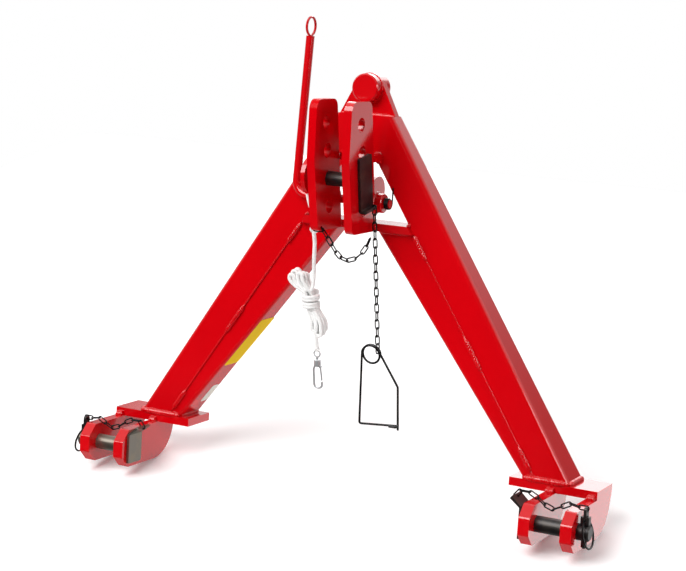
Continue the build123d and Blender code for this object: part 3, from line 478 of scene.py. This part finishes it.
# the cord rounds the corners of its route, so its length is a share of the route's
rope = {
    "diameter": 7.0,
    "roundedShare": 0.955,
    "points": [
        (-52.8, 120.0, 428.0), (-52.6, 120.0, 460.0), (-52.3, 120.0, 500.0), (-52.3, 120.0, 514.2),
        (-68.3, 120.0, 514.2), (-68.3, 120.0, 500.0), (-68.3, 120.4, 482.0), (-60.6, 120.0, 460.0),
        (-60.4, 120.2, 430.0), (-57.0, 120.5, 405.0), (-60.0, 120.0, 375.0), (-61.8, 120.0, 330.0),
    ],
    "lead": [(-64.6, 126.5, 296.0), (-61.0, 128.5, 306.0)],
    "tail": [
        (-60.5, 131.0, 277.0), (-64.5, 131.5, 268.0), (-64.5, 128.5, 254.0), (-61.5, 123.5, 240.0),
        (-60.4, 120.0, 226.0), (-61.2, 120.4, 216.0), (-60.5, 120.0, 204.0),
    ],
}
# loops of spare rope, gathered at a waist and wrapped there; each turn has its depth, then left, right and
# height of its top loop, then left, right and height of its bottom loop
hank = {"middle": 120.0, "waistX": -69.7, "waistShare": 0.5, "lowShare": 0.7,
        "topLead": 14.0, "lowLead": 10.0,
        "turns": ((110.0, -105.5, -96.0, 340.5, -66.0, -56.0, 238.0),
                  (120.0, -105.0, -95.6, 344.0, -64.0, -53.0, 232.5),
                  (130.0, -104.0, -94.6, 344.5, -62.5, -51.5, 231.0),
                  (110.0, -89.0, -79.6, 345.0, -58.0, -47.0, 229.8),
                  (120.0, -88.0, -78.6, 342.5, -55.5, -45.0, 232.0),
                  (130.0, -87.5, -78.0, 338.0, -54.0, -44.5, 236.5))}
wraps = {"count": 4, "steps": 12, "radius": 13.8, "top": 306.5, "pitch": 6.5, "start": 60, "slant": 2.0,
         "drift": 1.2}


def hankPoints():
    points = []
    x = hank["waistX"]
    for y, left, right, top, lowLeft, lowRight, bottom in hank["turns"]:
        nearY = hank["middle"] + (y - hank["middle"]) * hank["waistShare"]
        lowY = hank["middle"] + (y - hank["middle"]) * hank["lowShare"]
        shoulder, heel = top - hank["topLead"], bottom + hank["lowLead"]
        points += [
            (x + 4.5, nearY, 308.0), (right, y, shoulder), (right, y, top), (left, y, top),
            (left, y, shoulder), (x - 4.5, nearY, 306.0), (x - 3.5, nearY, 284.0), (lowLeft, lowY, 258.0),
            (lowLeft, lowY, heel), (lowLeft, lowY, bottom), (lowRight, lowY, bottom), (lowRight, lowY, heel),
            (lowRight, lowY, 256.0), (x + 5.5, nearY, 284.0),
        ]
    return points


def wrapPoints():
    points = []
    for i in range(wraps["count"] * wraps["steps"]):
        angle = math.radians(wraps["start"]) + 2 * math.pi * i / wraps["steps"]
        slant = wraps["slant"] * math.cos(angle) + wraps["drift"] * math.cos(angle / 2)
        points.append((hank["waistX"] + wraps["radius"] * math.cos(angle),
                       hank["middle"] + wraps["radius"] * math.sin(angle),
                       wraps["top"] - wraps["pitch"] * i / wraps["steps"] + slant))
    return points


curveSteps = {"round": 5, "along": 8}


def addCurve(name, points, radius, body, material, closed=False):
    data = bpy.data.curves.new(name, "CURVE")
    data.dimensions = "3D"
    data.bevel_depth = radius * mm
    data.bevel_resolution = curveSteps["round"]
    data.use_fill_caps = True
    data.resolution_u = curveSteps["along"]
    spline = data.splines.new("NURBS")
    spline.points.add(len(points) - 1)
    for slot, point in zip(spline.points, points):
        slot.co = (*metres(point), 1.0)
    spline.order_u = 3
    spline.use_endpoint_u = not closed
    spline.use_cyclic_u = closed
    data.materials.append(material)
    piece = bpy.data.objects.new(name, data)
    bpy.context.scene.collection.objects.link(piece)
    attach(piece, body)
    return piece


ropePoints = rope["points"] + hankPoints() + rope["lead"] + wrapPoints() + rope["tail"]
routeLength = sum((Vector(b) - Vector(a)).length for a, b in zip(ropePoints, ropePoints[1:]))
ropeLength = routeLength * rope["roundedShare"]
braidedWhite = makeBraid(ropeLength, math.pi * rope["diameter"])
releaseRope = addCurve("releaseRope", ropePoints, rope["diameter"] / 2, "rope", braidedWhite)
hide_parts("rope_line", "rope_hank", "rope_tail")

knots = {"loop": {"centre": (-56.5, 120.0, 430.0), "ring": 4.4, "lobe": 2.0, "height": 6.6, "radius": 3.2},
         "tail": {"centre": (-60.5, 120.0, 200.5), "ring": 2.6, "lobe": 1.0, "height": 2.6, "radius": 1.9}}
knotSteps = 36


def tieKnot(name, knot):
    # a trefoil drawn small, the way a tightened overhand knot looks from outside
    x, y, z = knot["centre"]
    points = []
    for i in range(knotSteps):
        t = 2 * math.pi * i / knotSteps
        reach = knot["ring"] + knot["lobe"] * math.cos(3 * t)
        points.append((x + reach * math.cos(2 * t), y + reach * math.sin(2 * t),
                       z + knot["height"] * math.sin(3 * t)))
    return addCurve(name, points, knot["radius"], "rope", braidedWhite, True)


loopKnot = tieKnot("loopKnot", knots["loop"])
tailKnot = tieKnot("tailKnot", knots["tail"])
for knot, node in ((loopKnot, "rope_knot"), (tailKnot, "tail_knot")):
    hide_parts(node)
print("rope hung, length", round(ropeLength))

# the photograph's camera: place in millimetres, its three directions, lens and sensor width
viewpoint = {"place": (1471.45, -2688.05, 1388.15), "right": (0.88918, 0.45672, -0.02760),
             "up": (-0.12148, 0.29381, 0.94811), "ahead": (-0.44113, 0.83969, -0.31673), "lens": 99.49,
             "sensor": 36.0, "clipEnd": 50.0}
cameraData = bpy.data.cameras.new("photoCamera")
camera = bpy.data.objects.new("photoCamera", cameraData)
bpy.context.scene.collection.objects.link(camera)
turn = Matrix((viewpoint["right"], viewpoint["up"], [-v for v in viewpoint["ahead"]])).transposed()
camera.matrix_world = Matrix.Translation(metres(viewpoint["place"])) @ turn.to_4x4()
cameraData.sensor_width = viewpoint["sensor"]
cameraData.sensor_fit = "HORIZONTAL"
cameraData.lens = viewpoint["lens"]
cameraData.clip_end = viewpoint["clipEnd"]
bpy.context.scene.camera = camera

# soft boxes: place, aim, size in metres and strength in watts
softBoxes = {
    "key": ((-1.1, -2.2, 3.3), (0.0, 0.1, 0.4), 3.0, 188.0),
    "fill": ((3.2, -0.6, 1.6), (0.0, 0.1, 0.35), 1.1, 24.0),
    "back": ((-0.6, 2.8, 1.75), (0.0, 0.1, 0.2), 2.6, 46.0),
}
for name, (place, aim, size, power) in softBoxes.items():
    light = bpy.data.lights.new(name, "AREA")
    light.shape = "SQUARE"
    light.size = size
    light.energy = power
    lamp = bpy.data.objects.new(name, light)
    bpy.context.scene.collection.objects.link(lamp)
    lamp.location = place
    lamp.rotation_euler = (Vector(aim) - Vector(place)).to_track_quat("-Z", "Y").to_euler()

# what the paint and the metal mirror, fitted so that flat faces come near the photograph's brightness: pale
# above, dim at the horizon, darker in front, with a grey floor and two bright patches behind
# spans are in a direction's y or z; each glow has its direction, where it begins and its strength
room = {"dark": 0.04, "paper": 0.9, "backSpan": (-0.45, 0.1), "horizon": 0.14, "above": 1.0,
        "skySpan": (0.03, 0.2), "floor": 0.3, "floorSpan": (-0.2, -0.06), "ambient": 0.5, "glowFull": 0.998,
        "glows": (((0.30, 0.84, -0.45), 0.95, 1.3), ((-0.30, 0.95, 0.09), 0.966, 2.2))}
world = bpy.data.worlds.new("studio")
world.use_nodes = True
bpy.context.scene.world = world
sky = world.node_tree
sky.nodes.clear()
rays = addNode(sky, "ShaderNodeLightPath")
seen = addNode(sky, "ShaderNodeMath", {"operation": "MAXIMUM"},
               {0: rays.outputs["Is Camera Ray"], 1: rays.outputs["Is Transmission Ray"]})
heading = addNode(sky, "ShaderNodeTexCoord")
axes = addNode(sky, "ShaderNodeSeparateXYZ", None, {"Vector": heading.outputs["Generated"]})
behind = addNode(sky, "ShaderNodeMapRange",
                 {"From Min": room["backSpan"][0], "From Max": room["backSpan"][1],
                  "To Min": room["dark"], "To Max": room["paper"]}, {"Value": axes.outputs["Y"]})
rising = addNode(sky, "ShaderNodeMapRange",
                 {"From Min": room["skySpan"][0], "From Max": room["skySpan"][1],
                  "To Min": room["horizon"], "To Max": room["above"]}, {"Value": axes.outputs["Z"]})
sinking = addNode(sky, "ShaderNodeMapRange",
                  {"From Min": room["floorSpan"][0], "From Max": room["floorSpan"][1],
                   "To Min": room["floor"], "To Max": 0.0}, {"Value": axes.outputs["Z"]})
mirrored = addNode(sky, "ShaderNodeMath", {"operation": "ADD"},
                   {0: rising.outputs["Result"], 1: sinking.outputs["Result"]})
for direction, begins, brightness in room["glows"]:
    towards = addNode(sky, "ShaderNodeVectorMath", {"operation": "DOT_PRODUCT", 1: direction},
                      {0: heading.outputs["Generated"]})
    glow = addNode(sky, "ShaderNodeMapRange",
                   {"From Min": begins, "From Max": room["glowFull"], "To Min": 0.0, "To Max": brightness},
                   {"Value": towards.outputs["Value"]})
    mirrored = addNode(sky, "ShaderNodeMath", {"operation": "ADD"},
                       {0: mirrored.outputs["Value"], 1: glow.outputs["Result"]})
level = addNode(sky, "ShaderNodeMapRange", {"To Min": room["ambient"]},
                {"Value": rays.outputs["Is Glossy Ray"], "To Max": mirrored.outputs["Value"]})
reflected = addNode(sky, "ShaderNodeMath", {"operation": "MULTIPLY"},
                    {0: behind.outputs["Result"], 1: level.outputs["Result"]})
# camera and transmission rays see plain white
strength = addNode(sky, "ShaderNodeMath", {"operation": "MAXIMUM"},
                   {0: seen.outputs["Value"], 1: reflected.outputs["Value"]})
backdrop = addNode(sky, "ShaderNodeBackground", {"Color": (1, 1, 1, 1)},
                   {"Strength": strength.outputs["Value"]})
addNode(sky, "ShaderNodeOutputWorld", None, {"Surface": backdrop.outputs["Background"]})

# white paper floor, matt
floorSpec = {"size": 3.4, "middle": (-0.3, 0.5), "colour": "F8F8F8", "roughness": 0.9, "lift": 0.15}
floorMaterial, floorTree, floorShader = newMaterial("palePaperFloor")
floorShader.inputs["Base Color"].default_value = linear(floorSpec["colour"])
floorShader.inputs["Roughness"].default_value = floorSpec["roughness"]
# the camera alone sees the floor a little lighter, so that it meets the white behind it
floorRays = addNode(floorTree, "ShaderNodeLightPath")
lifted = addNode(floorTree, "ShaderNodeMath", {"operation": "MULTIPLY", 1: floorSpec["lift"]},
                 {0: floorRays.outputs["Is Camera Ray"]})
floorTree.links.new(lifted.outputs["Value"], floorShader.inputs["Emission Strength"])
floorShader.inputs["Emission Color"].default_value = (1.0, 1.0, 1.0, 1.0)
# seen from below the floor is clear, so that the hitch's underside shows
facing = addNode(floorTree, "ShaderNodeNewGeometry")
clear = addNode(floorTree, "ShaderNodeBsdfTransparent")
sheet = addNode(floorTree, "ShaderNodeMixShader", None,
                {0: facing.outputs["Backfacing"], 1: floorShader.outputs["BSDF"], 2: clear.outputs["BSDF"]})
floorTree.links.new(sheet.outputs["Shader"], floorTree.nodes["Material Output"].inputs["Surface"])
half = floorSpec["size"] / 2
midX, midY = floorSpec["middle"]
corners = [(midX - half, midY - half), (midX + half, midY - half), (midX + half, midY + half),
           (midX - half, midY + half)]
mesh = bpy.data.meshes.new("studioFloor")
mesh.from_pydata([(x, y, cadBox[0][2]) for x, y in corners], [], [(0, 1, 2, 3)])
mesh.materials.append(floorMaterial)
studioFloor = bpy.data.objects.new("studioFloor", mesh)
bpy.context.scene.collection.objects.link(studioFloor)
studioFloor.visible_glossy = False
bpy.context.scene.view_settings.view_transform = "Standard"
print("studio set")

bpy.context.view_layer.update()
